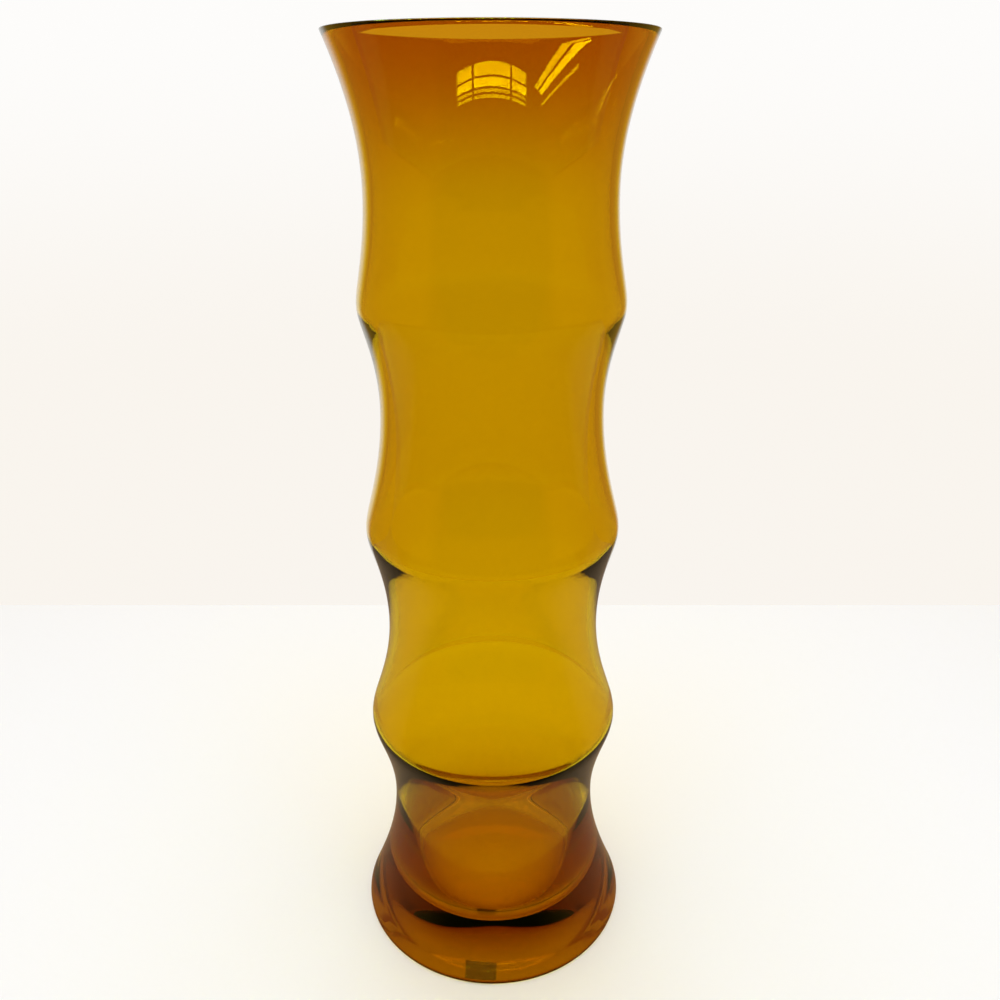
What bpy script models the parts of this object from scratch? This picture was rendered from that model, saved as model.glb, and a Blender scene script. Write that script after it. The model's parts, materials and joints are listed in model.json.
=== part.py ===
"""A tall glass vase shaped like a length of bamboo, with a small clear label on its foot.

Four waisted internodes meet in three rounded ridges, as a bamboo stem's do at its nodes. The wall is
thin and even, the foot is solid glass under a cavity with a flat floor and squarish corners, and the rim
flares to a lip with a narrow flat top and rounded edges. Under the foot, a shallow hollow leaves a flat ring to stand on.
All sizes are in metres. Z is up, the vase stands on Z = 0 round the Z axis, and -Y is its front.
"""

import math

import bpy

# Internode 1: from the table to the first ridge
FOOT_RADIUS = 0.0495
INTERNODE_1_LENGTH = 0.0855
WAIST_1_HEIGHT = 0.0512
WAIST_1_RADIUS = 0.0369
RIDGE_1_RADIUS = 0.0437

# Internode 2: each waist's height is measured from the ridge below it
INTERNODE_2_LENGTH = 0.0728
WAIST_2_HEIGHT = 0.0387
WAIST_2_RADIUS = 0.0361
RIDGE_2_RADIUS = 0.0419

# Internode 3
INTERNODE_3_LENGTH = 0.0726
WAIST_3_HEIGHT = 0.0422
WAIST_3_RADIUS = 0.0354
RIDGE_3_RADIUS = 0.0406

# Internode 4: ends in the flared rim
INTERNODE_4_LENGTH = 0.0741
WAIST_4_HEIGHT = 0.0342
WAIST_4_RADIUS = 0.0370
RIM_RADIUS = 0.0460

# How far the curves are drawn out: the waists' round, and the ridges' round outside and inside
WAIST_ROUND = 0.062
RIDGE_ROUND = 0.0031
INNER_RIDGE_ROUND = 0.0010

# Glass
WALL = 0.0030
LIP_ROUND = 0.0005
FLOOR_THICKNESS = 0.0125
CAVITY_SQUARENESS = 9.0
FOOT_EDGE_ROUND = 0.0016
STANDING_RING_WIDTH = 0.0060
UNDERSIDE_HOLLOW = 0.0036
UNDERSIDE_BEND = 1.3

# Clear label, stuck low on the foot, a little left of the front
LABEL_WIDTH = 0.0110
LABEL_HEIGHT = 0.0060
LABEL_THICKNESS = 0.0003
LABEL_GAP = 0.0003
LABEL_ABOVE_TABLE = 0.0020
LABEL_TURN = math.radians(-5.2)

# Fineness of the turned surfaces
TURN_STEPS = 48
LABEL_STEPS = 4
OUTER_POINTS = 11
INNER_POINTS = 9
LIP_POINTS = 2
FLOOR_POINTS = 9
HOLLOW_POINTS = 5
MERGE_DISTANCE = 0.00001


def clear_scene():
    for old in list(bpy.data.objects):
        bpy.data.objects.remove(old)


def internodes():
    """Each internode as (low z, low radius, waist z, waist radius, high z, high radius).

    The radii at a ridge are those of the corner where two internodes would meet before it is rounded,
    and rounding takes half of RIDGE_ROUND off that corner.
    """
    corner = RIDGE_ROUND / 2
    sizes = (
        (INTERNODE_1_LENGTH, WAIST_1_HEIGHT, WAIST_1_RADIUS, RIDGE_1_RADIUS + corner),
        (INTERNODE_2_LENGTH, WAIST_2_HEIGHT, WAIST_2_RADIUS, RIDGE_2_RADIUS + corner),
        (INTERNODE_3_LENGTH, WAIST_3_HEIGHT, WAIST_3_RADIUS, RIDGE_3_RADIUS + corner),
        (INTERNODE_4_LENGTH, WAIST_4_HEIGHT, WAIST_4_RADIUS, RIM_RADIUS),
    )
    found = []
    low_z = 0.0
    low_radius = FOOT_RADIUS
    for length, waist_height, waist_radius, high_radius in sizes:
        high_z = low_z + length
        found.append((low_z, low_radius, low_z + waist_height, waist_radius, high_z, high_radius))
        low_z = high_z
        low_radius = high_radius
    return found


def draw_out(distance):
    """How far a waist's curve has risen at this distance from the waist: a hyperbola."""
    return math.hypot(WAIST_ROUND, distance) - WAIST_ROUND


def internode_radius(z, internode):
    """The radius of one internode's own curve, which goes on past both of its ends."""
    low_z, low_radius, waist_z, waist_radius, high_z, high_radius = internode
    end_z, end_radius = (high_z, high_radius) if z > waist_z else (low_z, low_radius)
    rise = draw_out(z - waist_z) / draw_out(end_z - waist_z)
    return waist_radius + (end_radius - waist_radius) * rise


def rounded_least(one, other, roundness):
    """The smaller of two radii, with the corner between them rounded."""
    return (one + other - math.hypot(one - other, roundness)) / 2


def stem_radius(z, roundness):
    """The radius of the whole stem at height z: the least of its internodes' curves."""
    radius = None
    for internode in internodes():
        own = internode_radius(z, internode)
        radius = own if radius is None else rounded_least(radius, own, roundness)
    return radius


def outer_radius(z):
    return stem_radius(z, RIDGE_ROUND)


def cavity_radius(z):
    return stem_radius(z, INNER_RIDGE_ROUND) - WALL


def heights(low, high, count):
    """Heights from low to high, closer together at both ends, where the ridges are."""
    middle = (low + high) / 2
    half = (high - low) / 2
    return [middle - half * math.cos(math.pi * step / count) for step in range(count + 1)]


def outer_side(top):
    """The outside from the rim's edge down to the table."""
    points = []
    for low_z, _, _, _, high_z, _ in reversed(internodes()):
        high_z = min(high_z, top)
        down = reversed(heights(low_z, high_z, OUTER_POINTS))
        points += [(outer_radius(z), z) for z in down][:-1]
    return points + [(outer_radius(0.0), 0.0)]


def cavity_side(bottom, top):
    """The inside from the first waist, where the floor's corner has become the wall, up to the rim's edge."""
    points = []
    for low_z, _, _, _, high_z, _ in internodes():
        if high_z <= bottom:
            continue
        low_z = max(low_z, bottom)
        high_z = min(high_z, top)
        points += [(cavity_radius(z), z) for z in heights(low_z, high_z, INNER_POINTS)][:-1]
    return points + [(cavity_radius(top), top)]


def cavity_floor():
    """The cavity's floor from the axis out and up into its side: a superellipse, flatter than an arc."""
    side = cavity_radius(WAIST_1_HEIGHT)
    depth = WAIST_1_HEIGHT - FLOOR_THICKNESS
    power = 2 / CAVITY_SQUARENESS
    points = []
    for step in range(FLOOR_POINTS):
        turn = math.pi / 2 * step / FLOOR_POINTS
        points.append((side * math.sin(turn) ** power, WAIST_1_HEIGHT - depth * math.cos(turn) ** power))
    return points


def lip(height):
    """The lip's flat top, with its inner and its outer edge rounded."""
    inner = cavity_radius(height) + LIP_ROUND
    outer = outer_radius(height) - LIP_ROUND
    turns = [math.pi / 2 * step / LIP_POINTS for step in range(1, LIP_POINTS + 1)]
    over = [(inner - LIP_ROUND * math.cos(turn), height + LIP_ROUND * math.sin(turn)) for turn in turns]
    down = [(outer + LIP_ROUND * math.cos(turn), height + LIP_ROUND * math.sin(turn)) for turn in turns]
    return over + down[::-1]


def underside():
    """The hollow underside, from the flat ring that the vase stands on to the axis."""
    ring = FOOT_RADIUS - FOOT_EDGE_ROUND - STANDING_RING_WIDTH
    points = []
    for step in range(HOLLOW_POINTS + 1):
        share = 1 - step / HOLLOW_POINTS
        points.append((ring * share, UNDERSIDE_HOLLOW * (1 - share ** UNDERSIDE_BEND)))
    return points


def vase_profile():
    """Half of the vase's section, from the cavity's floor round the rim to the underside."""
    lip_height = internodes()[-1][4] - LIP_ROUND
    inside = cavity_floor() + cavity_side(WAIST_1_HEIGHT, lip_height)
    return inside + lip(lip_height) + outer_side(lip_height) + underside()


def make_material(name, colour, roughness, transmission, ior):
    material = bpy.data.materials.new(name)
    material.use_nodes = True
    material.diffuse_color = colour
    shader = material.node_tree.nodes["Principled BSDF"]
    shader.inputs["Base Color"].default_value = colour
    shader.inputs["Roughness"].default_value = roughness
    shader.inputs["Metallic"].default_value = 0.0
    shader.inputs["Transmission Weight"].default_value = transmission
    shader.inputs["IOR"].default_value = ior
    return material


def turned(name, profile, material, collection, turn, steps):
    """An object that turns a profile round Z with a Screw modifier."""
    mesh = bpy.data.meshes.new(name)
    corners = [(radius, 0.0, z) for radius, z in profile]
    edges = [(index, index + 1) for index in range(len(corners) - 1)]
    mesh.from_pydata(corners, edges, [])
    mesh.materials.append(material)
    made = bpy.data.objects.new(name, mesh)
    collection.objects.link(made)
    screw = made.modifiers.new("Turn", "SCREW")
    screw.axis = "Z"
    screw.angle = turn
    screw.steps = steps
    screw.render_steps = steps
    screw.use_merge_vertices = True
    screw.merge_threshold = MERGE_DISTANCE
    screw.use_smooth_shade = True
    return made


def make_vase_body(collection):
    glass = make_material("amber_glass", (0.78, 0.43, 0.02, 1.0), 0.02, 1.0, 1.5)
    body = turned("vase_body", vase_profile(), glass, collection, math.tau, TURN_STEPS)
    round_edge = body.modifiers.new("Foot edge", "BEVEL")
    round_edge.limit_method = "ANGLE"
    round_edge.angle_limit = math.radians(60)
    round_edge.width = FOOT_EDGE_ROUND
    round_edge.segments = 3
    return body


def make_foot_label(collection):
    """The label: a strip that follows the foot's flare, swept through its width, then thickened."""
    film = make_material("clear_film", (0.80, 0.78, 0.66, 1.0), 0.25, 0.7, 1.45)
    top = LABEL_ABOVE_TABLE + LABEL_HEIGHT
    strip = []
    for step in range(LABEL_STEPS + 1):
        z = top - LABEL_HEIGHT * step / LABEL_STEPS
        strip.append((outer_radius(z) + LABEL_GAP, z))
    sweep = LABEL_WIDTH / outer_radius((LABEL_ABOVE_TABLE + top) / 2)
    label = turned("foot_label", strip, film, collection, sweep, LABEL_STEPS)
    label.rotation_euler.z = LABEL_TURN - math.pi / 2 - sweep / 2
    film_sheet = label.modifiers.new("Film", "SOLIDIFY")
    film_sheet.thickness = LABEL_THICKNESS
    film_sheet.offset = 1.0
    return label


def main():
    clear_scene()
    collection = bpy.data.collections.new("bamboo_vase")
    bpy.context.scene.collection.children.link(collection)
    make_vase_body(collection)
    make_foot_label(collection)


main()
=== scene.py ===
# %% [markdown]
# # A glass vase shaped like a length of bamboo
#
# The vase is one piece of blown amber glass: a hollow stem of four waisted internodes that meet in rounded
# ridges, a flared lip with a narrow flat top, and a heavy foot of solid glass. Glass can't be painted like wood
# or clay. What it shows is its shape, the light around it and how far that light has travelled inside it, so
# this lesson spends its effort on an exact section, a true wall and the room that the glass mirrors.
#
# The first cell loads the imported model, which fixes every size and place, and defines how the scene's box is
# measured.

# %% Load the imported model
import json
import math

import bmesh
import bpy
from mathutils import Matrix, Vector

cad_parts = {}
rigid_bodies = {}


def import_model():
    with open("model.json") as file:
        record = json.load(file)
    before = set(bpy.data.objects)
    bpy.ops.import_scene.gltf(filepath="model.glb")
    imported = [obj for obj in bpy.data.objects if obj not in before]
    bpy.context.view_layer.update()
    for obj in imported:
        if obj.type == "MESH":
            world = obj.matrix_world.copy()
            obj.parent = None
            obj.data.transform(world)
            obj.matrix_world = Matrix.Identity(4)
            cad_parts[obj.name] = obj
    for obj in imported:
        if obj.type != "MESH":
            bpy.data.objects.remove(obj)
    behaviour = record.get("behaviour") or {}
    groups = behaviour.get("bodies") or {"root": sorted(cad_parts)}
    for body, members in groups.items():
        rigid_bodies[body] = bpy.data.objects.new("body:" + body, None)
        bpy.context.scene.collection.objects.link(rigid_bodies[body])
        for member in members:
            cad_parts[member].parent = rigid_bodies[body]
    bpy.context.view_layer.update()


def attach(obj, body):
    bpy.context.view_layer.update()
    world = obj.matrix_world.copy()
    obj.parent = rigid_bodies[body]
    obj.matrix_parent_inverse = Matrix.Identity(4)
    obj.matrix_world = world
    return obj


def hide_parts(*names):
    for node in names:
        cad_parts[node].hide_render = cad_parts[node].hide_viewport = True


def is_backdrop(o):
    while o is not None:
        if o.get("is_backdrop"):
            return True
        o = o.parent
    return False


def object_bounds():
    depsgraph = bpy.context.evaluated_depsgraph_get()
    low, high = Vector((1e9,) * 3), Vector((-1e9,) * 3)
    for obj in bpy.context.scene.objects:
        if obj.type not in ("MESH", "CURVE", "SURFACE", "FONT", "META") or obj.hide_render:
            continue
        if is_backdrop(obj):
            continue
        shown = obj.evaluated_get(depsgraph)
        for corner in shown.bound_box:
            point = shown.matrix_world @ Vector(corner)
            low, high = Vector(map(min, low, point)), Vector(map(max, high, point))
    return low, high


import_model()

# %% [markdown]
# ## The camera
#
# The photograph looks down at the vase from just below its rim, at about the vase's own height away. So the
# near side of the lip is the upper line of the mouth, the far side shows through the near wall, and the foot
# is a round ellipse. A camera this close makes the foot look small, and only a camera at the same place gives
# the same outline. Its place is written in metres from the middle of the foot.

# %% Camera
CAMERA_ASIDE = 0.0025
CAMERA_AWAY = 0.2796
CAMERA_HEIGHT = 0.2895
CAMERA_PITCH = math.radians(23.78)
SENSOR_WIDTH = 36.0
FOCAL_LENGTH = 33.3
NEAREST_SEEN = 0.01
FARTHEST_SEEN = 20.0

camera_data = bpy.data.cameras.new("camera")
camera_data.sensor_width = SENSOR_WIDTH
camera_data.lens = FOCAL_LENGTH
camera_data.clip_start = NEAREST_SEEN
camera_data.clip_end = FARTHEST_SEEN
camera = bpy.data.objects.new("camera", camera_data)
camera.location = (CAMERA_ASIDE, -CAMERA_AWAY, CAMERA_HEIGHT)
camera.rotation_euler = (math.pi / 2 - CAMERA_PITCH, 0.0, 0.0)
bpy.context.scene.collection.objects.link(camera)
bpy.context.scene.camera = camera
bpy.context.scene.view_settings.view_transform = "Standard"
print("camera is", round(camera.location.length, 3), "m from the foot")

# %% [markdown]
# ## Shader maths written as Python
#
# A node tree that is built call by call is hard to read. Two small classes keep the materials readable:
# one wraps a socket, so that `1 - mask * 0.5` adds the Math nodes that it stands for, and one adds any other
# node from its type, its settings and the values or links of its sockets.

# %% Two helpers for node trees
class Value:
    """A number that varies over a surface. Python's operators add Math nodes."""

    def __init__(self, tree, socket):
        self.tree = tree
        self.socket = socket

    def maths(self, operation, *others):
        return self.tree.maths(operation, self, *others)

    def __add__(self, other):
        return self.maths("ADD", other)

    __radd__ = __add__

    def __mul__(self, other):
        return self.maths("MULTIPLY", other)

    __rmul__ = __mul__

    def __sub__(self, other):
        return self.maths("SUBTRACT", other)

    def __rsub__(self, other):
        return self.tree.maths("SUBTRACT", other, self)

    def __truediv__(self, other):
        return self.maths("DIVIDE", other)

    def __neg__(self):
        return self.maths("MULTIPLY", -1.0)

    def __lt__(self, other):
        return self.maths("LESS_THAN", other)

    def __gt__(self, other):
        return self.maths("GREATER_THAN", other)


class Tree:
    """A material's or a world's node tree, filled by one method."""

    def __init__(self, owner):
        owner.use_nodes = True
        self.nodes = owner.node_tree.nodes
        self.links = owner.node_tree.links
        self.nodes.clear()

    def feed(self, socket, value):
        """Link a Value or another node's output to a socket, or set a plain number or colour on it."""
        if isinstance(value, Value):
            self.links.new(value.socket, socket)
        elif hasattr(value, "is_output"):
            self.links.new(value, socket)
        else:
            socket.default_value = value

    def add(self, kind, settings=None, **sockets):
        """A new node. Settings come first, and a socket's name is written with _ for each space."""
        node = self.nodes.new("ShaderNode" + kind)
        for name, value in (settings or {}).items():
            setattr(node, name, value)
        for name, value in sockets.items():
            self.feed(node.inputs[name.replace("_", " ")], value)
        return node

    def value(self, node, output=0):
        """One of a node's outputs, by its number or its name, as a Value."""
        return Value(self, node.outputs[output])

    def maths(self, operation, *values):
        """A Math node on these values, in this order."""
        node = self.add("Math", {"operation": operation})
        for socket, value in zip(node.inputs, values):
            self.feed(socket, value)
        return self.value(node)

    def ramp(self, value, low, high):
        """A smooth step from 0 at low to 1 at high."""
        smooth = {"interpolation_type": "SMOOTHERSTEP"}
        return self.value(self.add("MapRange", smooth, Value=value, From_Min=low, From_Max=high))

    def blend(self, factor, one, other):
        """Colour one where the factor is 0, the other where it is 1."""
        node = self.add("Mix", {"data_type": "RGBA"})
        # A Mix node has sockets for several kinds of data: these are its factor and its two colours
        for place, value in ((0, factor), (6, one), (7, other)):
            self.feed(node.inputs[place], value)
        return node.outputs[2]


print("helpers ready:", Value.__name__, Tree.__name__)

# %% [markdown]
# ## The room round the vase
#
# Glass shows what stands round it, so the room matters more here than for any painted thing. The photograph
# was taken on a white table against a pale wall, with a dimmer room on the camera's side and bright ceiling
# lights in it. Real walls would get in the way of a camera that looks from another side, so the room is
# written into the world's light by direction: a pale wall behind, amber sides, and a dim sector in front, on
# the camera's side. The wall is a little warmer low down, by the table. The sides' colour is tuned, not seen:
# it gives the light that is mirrored at the vase's edges the photograph's colour. The camera, and light that
# comes straight through the glass, meet the pale wall on all sides. Mirrored and scattered light meet the rest.

# %% The room as a world
WALL_LIGHT = (0.985, 0.975, 0.96, 1.0)
WALL_LIGHT_LOW = (0.95, 0.91, 0.855, 1.0)
SIDE_LIGHT = (0.60, 0.35, 0.04, 1.0)
FRONT_LIGHT = (0.13, 0.09, 0.03, 1.0)
WALL_ENDS_LEFT = math.radians(36)
WALL_ENDS_RIGHT = math.radians(26)
FRONT_HALF_ANGLE = math.radians(53)
ANGLE_SOFTNESS = math.radians(9)
WARM_BELOW = 0.10
WARM_ABOVE = -0.30
# Ray Depth less Transmission Depth is 1 for light that came straight through, and more once it was mirrored
STRAIGHT_BELOW = 1.5

world = bpy.data.worlds.new("room")
bpy.context.scene.world = world
room = Tree(world)
direction = room.add("SeparateXYZ", Vector=room.add("TexCoord").outputs["Generated"])
across = room.value(direction, "X")
back = room.value(direction, "Y")
up = room.value(direction, "Z")
turn = across.maths("ARCTAN2", back)
wall_colour = room.blend(room.ramp(up, WARM_ABOVE, WARM_BELOW), WALL_LIGHT_LOW, WALL_LIGHT)
past_wall = room.ramp(turn, WALL_ENDS_RIGHT - ANGLE_SOFTNESS, WALL_ENDS_RIGHT + ANGLE_SOFTNESS)
past_wall = past_wall + room.ramp(-turn, WALL_ENDS_LEFT - ANGLE_SOFTNESS, WALL_ENDS_LEFT + ANGLE_SOFTNESS)
front_at = math.pi - FRONT_HALF_ANGLE
in_front = room.ramp(turn.maths("ABSOLUTE"), front_at - ANGLE_SOFTNESS, front_at + ANGLE_SOFTNESS)
path = room.add("LightPath")
glass_passed = room.value(path, "Transmission Depth")
other_turns = room.value(path, "Ray Depth") - glass_passed
straight = room.value(path, "Is Transmission Ray") * (other_turns < STRAIGHT_BELOW)
straight = straight.maths("MAXIMUM", room.value(path, "Is Camera Ray"))
beside_wall = room.blend(in_front, SIDE_LIGHT, FRONT_LIGHT)
room_colour = room.blend(past_wall * (1.0 - straight), wall_colour, beside_wall)
print("the bright wall is", round(math.degrees(WALL_ENDS_LEFT + WALL_ENDS_RIGHT)), "degrees wide")

# %% [markdown]
# ## The ceiling lights
#
# The bright patch and the slanting streaks in the vase's mouth are ceiling lights. The camera looks through
# the near wall at the inside of the far wall, which mirrors them through the open mouth. So only glossy light
# that has passed no more than the near wall's two surfaces shows them, and they don't light the matt table. A
# light's place in the world is a ratio of two directions. Its edges are then straight lines on the ceiling,
# and the curved glass bends them into arches and streaks as in the photograph. Their greenish colour is tuned
# as well: seen through this amber, it gives the photograph's yellow.

# %% Ceiling lights in the world
# Rows of panes on the camera's side: each one's lower and upper edge as up over forward, and its strength
PANES = ((0.77, 0.89, 36.0), (0.67, 0.75, 80.0), (0.62, 0.65, 22.0), (0.57, 0.60, 22.0))
# How far the rows reach to each side, and where the bars between the panes are, as across over forward
PANES_REACH = 0.66
PANES_SOFTNESS = 0.06
MULLION_PLACES = (-0.35, 0.33)
MULLION_HALF = 0.02
LAMP_COLOUR = (0.58, 1.0, 0.5, 1.0)
# Long tubes on the ceiling: each one's sides as across over up, its ends as forward over up, and its strength
TUBES = ((-1.24, -1.10, -0.2, 1.2, 34.0), (-1.44, -1.29, -0.2, 1.2, 80.0), (-1.72, -1.64, 0.1, 1.4, 22.0))
# The number of glass surfaces at which the lights are no longer shown
MOUTH_DEPTH = 3
# How far forward a direction points before it can meet a pane, and the least length that is divided by
FRONT_BEGINS = -0.05
LEAST_LENGTH = 0.001

forward = (-back).maths("MAXIMUM", LEAST_LENGTH)
rise = up / forward
sideways = across / forward
reach = room.ramp(sideways.maths("ABSOLUTE"), PANES_REACH - PANES_SOFTNESS, PANES_REACH + PANES_SOFTNESS)
front = (back < FRONT_BEGINS) * (1.0 - reach)
for mullion in MULLION_PLACES:
    front = front * ((sideways - mullion).maths("ABSOLUTE") > MULLION_HALF)
lights = 0.0
for low, high, strength in PANES:
    lights = (rise > low) * (rise < high) * strength + lights
lights = lights * front
over = up.maths("MAXIMUM", LEAST_LENGTH)
beside = across / over
ahead = (-back) / over
for left, right, far, near, strength in TUBES:
    lights = (beside > left) * (beside < right) * (ahead > far) * (ahead < near) * strength + lights
lights = lights * room.value(path, "Is Glossy Ray") * (glass_passed < MOUTH_DEPTH)
lit = room.add("Background", Color=room_colour)
lamps = room.add("Background", Color=LAMP_COLOUR, Strength=lights)
room_light = room.add("AddShader")
room.feed(room_light.inputs[0], lit.outputs[0])
room.feed(room_light.inputs[1], lamps.outputs[0])
room.add("OutputWorld", Surface=room_light.outputs[0])
print("world nodes:", len(room.nodes))

# %% [markdown]
# ## The table
#
# A plain pale sheet stands for the table. It ends a little way behind the vase, where the photograph shows
# its edge against the wall. It is matt paint and not a glow, because the patch under the foot must be lit
# through the glass alone to look amber. In the photograph the foot mirrors no white in front, as if the table
# ended just outside the picture. Here it goes on, for cameras that look from elsewhere, and only its mirror
# image is dim, and nearly black in front of the vase. It lies a fifth of a millimetre under the ring that the
# vase stands on: ground glass touches a table at a few points only, and the film of air in between is what
# makes the foot's underside a mirror.

# %% Table
TABLE_HALF_WIDTH = 1.2
TABLE_FRONT = -0.90
TABLE_BACK = 0.217
TABLE_PAINT = (0.80, 0.85, 0.93, 1.0)
TABLE_GAP = 0.0002
MIRRORED_PAINT = (0.26, 0.20, 0.15, 1.0)
MIRRORED_FLOOR = (0.03, 0.03, 0.03, 1.0)
MIRROR_DIMS = -0.02
MIRROR_ENDS = -0.11

table_mesh = bpy.data.meshes.new("table")
sheet = bmesh.new()
bmesh.ops.create_grid(sheet, x_segments=1, y_segments=1, size=0.5)
bmesh.ops.scale(sheet, vec=(2 * TABLE_HALF_WIDTH, TABLE_BACK - TABLE_FRONT, 1.0), verts=sheet.verts[:])
bmesh.ops.translate(sheet, vec=(0.0, (TABLE_BACK + TABLE_FRONT) / 2, -TABLE_GAP), verts=sheet.verts[:])
sheet.to_mesh(table_mesh)
sheet.free()
table = bpy.data.objects.new("table", table_mesh)
bpy.context.scene.collection.objects.link(table)
table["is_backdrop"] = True

table_material = bpy.data.materials.new("white_table")
top = Tree(table_material)
table_place = top.add("SeparateXYZ", Vector=top.add("TexCoord").outputs["Object"])
behind_vase = top.ramp(top.value(table_place, "Y"), MIRROR_ENDS, MIRROR_DIMS)
mirror_colour = top.blend(behind_vase, MIRRORED_FLOOR, MIRRORED_PAINT)
table_path = top.add("LightPath")
mirrored = top.value(table_path, "Is Glossy Ray") > top.value(table_path, "Is Transmission Ray")
paint = top.add("BsdfDiffuse", Color=top.blend(mirrored, TABLE_PAINT, mirror_colour))
top.add("OutputMaterial", Surface=paint.outputs[0])
table_mesh.materials.append(table_material)
print("table is", round(TABLE_BACK - TABLE_FRONT, 2), "m deep")

# %% [markdown]
# ## The lamp
#
# One broad, soft lamp overhead gives the table most of its light. It is a little blue, like the table's paint,
# and the two together undo most of the warmth of the room's light, so that the table looks nearly white.

# %% Overhead lamp
OVERHEAD_PLACE = (0.0, -0.1, 1.5)
OVERHEAD_SIZE = 1.4
OVERHEAD_POWER = 24.5
OVERHEAD_COLOUR = (0.85, 0.92, 1.0)

overhead_data = bpy.data.lights.new("overhead_lamp", "AREA")
overhead_data.shape = "SQUARE"
overhead_data.size = OVERHEAD_SIZE
overhead_data.energy = OVERHEAD_POWER
overhead_data.color = OVERHEAD_COLOUR
overhead = bpy.data.objects.new("overhead_lamp", overhead_data)
overhead.location = OVERHEAD_PLACE
overhead.rotation_euler = (-Vector(OVERHEAD_PLACE)).to_track_quat("-Z", "Y").to_euler()
bpy.context.scene.collection.objects.link(overhead)

# %% [markdown]
# ## The stem's section
#
# Each internode is a waisted curve, and the stem at any height is the narrowest of its internodes' curves,
# with the corner where two of them cross rounded off. That is how bamboo looks, and it needs only a height
# and a radius for each waist and each ridge.

# %% Sizes of the stem
STEM = (
    # length, waist's height above the internode's lower end, waist's radius, radius at the upper end
    (0.0855, 0.0512, 0.0369, 0.0437),
    (0.0728, 0.0387, 0.0361, 0.0419),
    (0.0726, 0.0422, 0.0354, 0.0406),
    (0.0741, 0.0342, 0.0370, 0.0460),
)
FOOT_RADIUS = 0.0495
WAIST_ROUND = 0.062
RIDGE_ROUND = 0.0031
INNER_RIDGE_ROUND = 0.0010
WALL = 0.0030
LIP_ROUND = 0.0005
FLOOR_THICKNESS = 0.0125
CAVITY_SQUARENESS = 9.0
FOOT_EDGE_ROUND = 0.0016
STANDING_RING_WIDTH = 0.0060
UNDERSIDE_HOLLOW = 0.0036
UNDERSIDE_BEND = 1.3
HEIGHT = sum(length for length, _, _, _ in STEM)


def draw_out(distance):
    """How far a waist's curve has risen at this distance from the waist: a hyperbola."""
    return math.hypot(WAIST_ROUND, distance) - WAIST_ROUND


def stem_radius(z, roundness):
    """The stem's radius at height z, with its ridges rounded by this much."""
    radius = None
    low_z = 0.0
    low_radius = FOOT_RADIUS
    for place, (length, waist, waist_radius, high_radius) in enumerate(STEM):
        if place < len(STEM) - 1:
            high_radius = high_radius + RIDGE_ROUND / 2
        above = z - low_z - waist
        end, end_radius = (length - waist, high_radius) if above > 0 else (waist, low_radius)
        own = waist_radius + (end_radius - waist_radius) * (draw_out(above) / draw_out(end))
        if radius is None:
            radius = own
        else:
            radius = (radius + own - math.hypot(radius - own, roundness)) / 2
        low_z += length
        low_radius = high_radius
    return radius


def outer_radius(z):
    return stem_radius(z, RIDGE_ROUND)


def cavity_radius(z):
    return stem_radius(z, INNER_RIDGE_ROUND) - WALL


# %% [markdown]
# ## The vase's body
#
# A wine glass, a bowl or a vase is easiest as half of its section, spun round its axis. The section runs
# from the middle of the cavity's floor up the inside, over the lip, down the outside and back under the
# foot to the axis. Three of its corners are first left sharp, and a vertex bevel rounds them: both edges
# of the lip, and the foot's edge. The full spin merges its last copy with its first.

# %% Spin the body
TURN_STEPS = 192
STEP_HEIGHT = 0.0018
LIP_SEGMENTS = 4
EDGE_SEGMENTS = 5
FLOOR_STEPS = 48
HOLLOW_STEPS = 24
MERGE_DISTANCE = 0.000002


def spaced(low, high):
    """Even heights from low up to high."""
    count = max(2, round((high - low) / STEP_HEIGHT))
    return [low + (high - low) * step / count for step in range(count + 1)]


def section():
    """The half section as (radius, height) points, and which of them are the lip's two and the foot's edge."""
    waist = STEM[0][1]
    side = cavity_radius(waist)
    power = 2 / CAVITY_SQUARENESS
    points = []
    for step in range(FLOOR_STEPS):
        turn = math.pi / 2 * step / FLOOR_STEPS
        depth = (waist - FLOOR_THICKNESS) * math.cos(turn) ** power
        points.append((side * math.sin(turn) ** power, waist - depth))
    points += [(cavity_radius(z), z) for z in spaced(waist, HEIGHT)]
    lip = [len(points) - 1, len(points)]
    points += [(outer_radius(z), z) for z in reversed(spaced(0.0, HEIGHT))]
    foot_edge = len(points) - 1
    ring = FOOT_RADIUS - FOOT_EDGE_ROUND - STANDING_RING_WIDTH
    points.append((ring + STANDING_RING_WIDTH / 2, 0.0))
    for step in range(HOLLOW_STEPS + 1):
        share = 1 - step / HOLLOW_STEPS
        points.append((ring * share, UNDERSIDE_HOLLOW * (1 - share**UNDERSIDE_BEND)))
    return points, lip, foot_edge


points, lip, foot_edge = section()
body_bm = bmesh.new()
corners = [body_bm.verts.new((radius, 0.0, z)) for radius, z in points]
for one, other in zip(corners, corners[1:]):
    body_bm.edges.new((one, other))
for rounded, width, segments in (
    ([corners[index] for index in lip], LIP_ROUND, LIP_SEGMENTS),
    ([corners[foot_edge]], FOOT_EDGE_ROUND, EDGE_SEGMENTS),
):
    bmesh.ops.bevel(
        body_bm,
        geom=rounded,
        offset=width,
        offset_type="OFFSET",
        segments=segments,
        profile=0.5,
        affect="VERTICES",
        material=-1,
    )
bmesh.ops.spin(
    body_bm,
    geom=body_bm.verts[:] + body_bm.edges[:],
    cent=(0.0, 0.0, 0.0),
    axis=(0.0, 0.0, 1.0),
    angle=math.tau,
    steps=TURN_STEPS,
    use_merge=True,
)
bmesh.ops.remove_doubles(body_bm, verts=body_bm.verts[:], dist=MERGE_DISTANCE)
bmesh.ops.recalc_face_normals(body_bm, faces=body_bm.faces[:])
for face in body_bm.faces:
    face.smooth = True
open_edges = sum(1 for edge in body_bm.edges if len(edge.link_faces) != 2)
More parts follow.
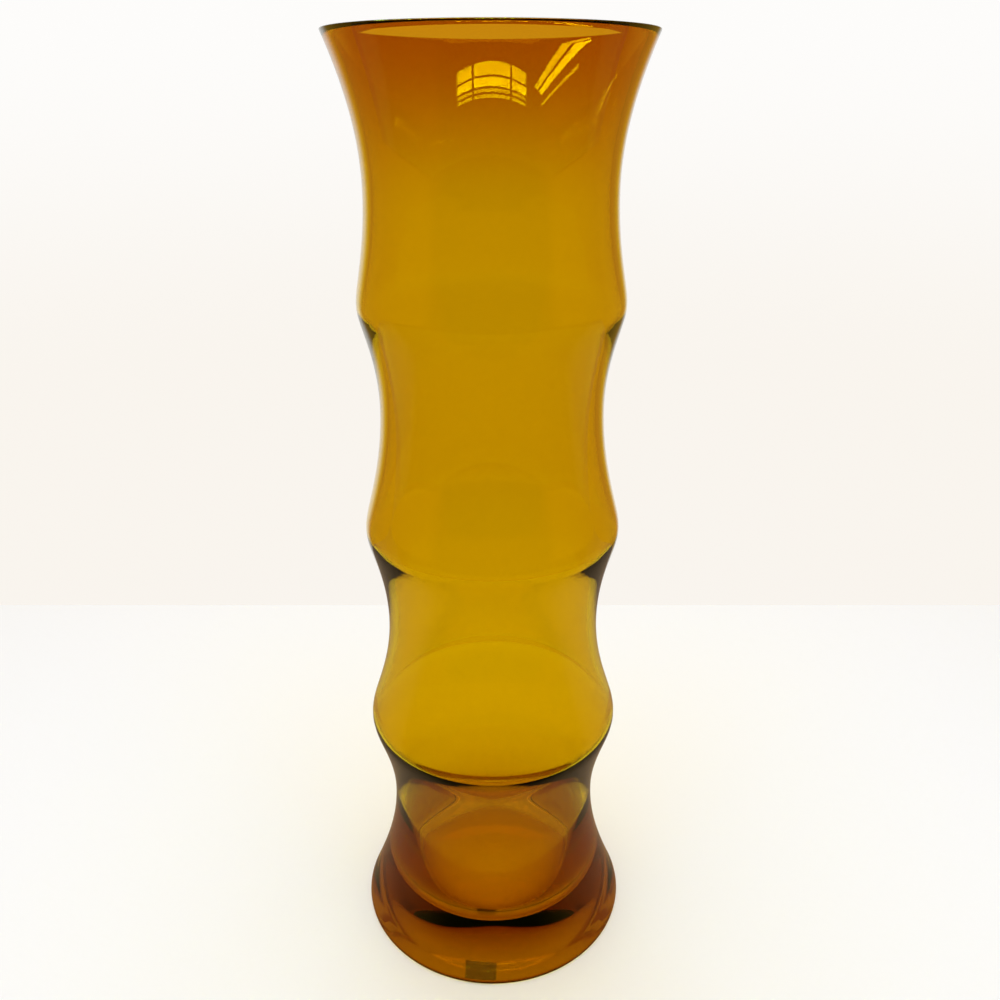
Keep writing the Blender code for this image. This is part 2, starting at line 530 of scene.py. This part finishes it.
millilitres = round(body_bm.calc_volume() * 1e6, 1)
print("body:", len(body_bm.faces), "faces,", open_edges, "open edges,", millilitres, "ml of glass")
body_mesh = bpy.data.meshes.new("glass_stem")
body_bm.to_mesh(body_mesh)
body_bm.free()
glass_stem = bpy.data.objects.new("glass_stem", body_mesh)
bpy.context.scene.collection.objects.link(glass_stem)
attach(glass_stem, "root")
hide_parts("vase_body")

# %% [markdown]
# ## Amber glass
#
# Coloured glass is clear glass that soaks up light on the way through: here most of the blue within a few
# millimetres, half of the green in 13 millimetres and half of the red in 25. So the thin wall looks golden and
# the thick foot dark orange. Volume Absorption does this for the long paths through the foot. Three colours
# can't follow a whole spectrum, though: real amber soaks up its worst shades in the first millimetre and the
# rest far more slowly. The base colour stands for that first millimetre, as each surface that light passes
# takes its share of it. It is deeper towards the rim, where the photograph's glass is darker. Mirrored light
# gets an amber tint too, because most of it here is mirrored at inner faces and has been through glass. To the
# lamp's shadow rays the surface is clear, and only the volume colours them, so light reaches the table below.

# %% Glass material
ABSORPTION_DENSITY = 500.0
ABSORPTION_COLOUR = (0.944, 0.892, 0.0, 1.0)
GLASS_IOR = 1.5
LOW_TINT = (0.85, 0.68, 0.05, 1.0)
MIDDLE_TINT = (0.81, 0.62, 0.05, 1.0)
RIM_TINT = (0.63, 0.275, 0.02, 1.0)
# The heights at which the middle's tint and the rim's tint begin and are full
MIDDLE_FROM, MIDDLE_TO = 0.135, 0.165
RIM_FROM, RIM_TO = 0.25, 0.315
GLOSS_TINT = (1.0, 0.85, 0.0, 1.0)

amber = bpy.data.materials.new("amber_glass")
glass = Tree(amber)
glass_place = glass.add("SeparateXYZ", Vector=glass.add("TexCoord").outputs["Object"])
height = glass.value(glass_place, "Z")
tint = glass.blend(glass.ramp(height, MIDDLE_FROM, MIDDLE_TO), LOW_TINT, MIDDLE_TINT)
tint = glass.blend(glass.ramp(height, RIM_FROM, RIM_TO), tint, RIM_TINT)
shader = glass.add(
    "BsdfPrincipled",
    Base_Color=tint,
    Roughness=0.0,
    IOR=GLASS_IOR,
    Specular_Tint=GLOSS_TINT,
    Transmission_Weight=1.0,
)
soak = glass.add("VolumeAbsorption", Color=ABSORPTION_COLOUR, Density=ABSORPTION_DENSITY)
clear = glass.add("BsdfTransparent")
light_path = glass.add("LightPath")
for_lamps = glass.add("MixShader")
glass.feed(for_lamps.inputs[0], light_path.outputs["Is Shadow Ray"])
glass.feed(for_lamps.inputs[1], shader.outputs[0])
glass.feed(for_lamps.inputs[2], clear.outputs[0])
glass.add("OutputMaterial", Surface=for_lamps.outputs[0], Volume=soak.outputs[0])
body_mesh.materials.append(amber)
print("glass nodes:", len(glass.nodes))

# %% [markdown]
# ## The label
#
# Low on the foot sits a small clear film label. It is shown bare: a thin curved sheet, bent to the foot's
# flare from a flat grid, thickened, and just visible as a duller patch. Its own colour is nearly black, so that
# it stands out from the glass as little as it does in the photograph.

# %% Film label
LABEL_WIDTH = 0.0110
LABEL_HEIGHT = 0.0060
LABEL_THICKNESS = 0.0001
LABEL_GAP = 0.0001
LABEL_ABOVE_TABLE = 0.0020
LABEL_TURN = math.radians(-5.2)
LABEL_CELLS = 12
FILM_COLOUR = (0.04, 0.034, 0.001, 1.0)
FILM_ROUGHNESS = 0.7
FILM_IOR = 1.2
FILM_ALPHA = 0.4

label_bm = bmesh.new()
bmesh.ops.create_grid(label_bm, x_segments=LABEL_CELLS, y_segments=LABEL_CELLS, size=0.5)
for corner in label_bm.verts:
    z = LABEL_ABOVE_TABLE + LABEL_HEIGHT * (corner.co.y + 0.5)
    radius = outer_radius(z) + LABEL_GAP
    angle = LABEL_TURN - math.pi / 2 + corner.co.x * LABEL_WIDTH / radius
    corner.co = (radius * math.cos(angle), radius * math.sin(angle), z)
bmesh.ops.recalc_face_normals(label_bm, faces=label_bm.faces[:])
bmesh.ops.solidify(label_bm, geom=label_bm.faces[:], thickness=LABEL_THICKNESS)
bmesh.ops.recalc_face_normals(label_bm, faces=label_bm.faces[:])
label_mesh = bpy.data.meshes.new("film_label")
label_bm.to_mesh(label_mesh)
label_bm.free()
film_label = bpy.data.objects.new("film_label", label_mesh)
bpy.context.scene.collection.objects.link(film_label)
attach(film_label, "root")
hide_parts("foot_label")

film_material = bpy.data.materials.new("clear_film")
film = Tree(film_material)
film_shader = film.add(
    "BsdfPrincipled",
    Base_Color=FILM_COLOUR,
    Roughness=FILM_ROUGHNESS,
    IOR=FILM_IOR,
    Alpha=FILM_ALPHA,
)
film.add("OutputMaterial", Surface=film_shader.outputs[0])
label_mesh.materials.append(film_material)
print("label:", len(label_mesh.polygons), "faces")

# %% [markdown]
# ## The scene's box
#
# The last cell measures the finished scene's box and prints it.

# %% Measure the scene's box and finish
low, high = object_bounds()
print("scene's box in mm:", [round(1000 * (top_one - low_one), 1) for low_one, top_one in zip(low, high)])
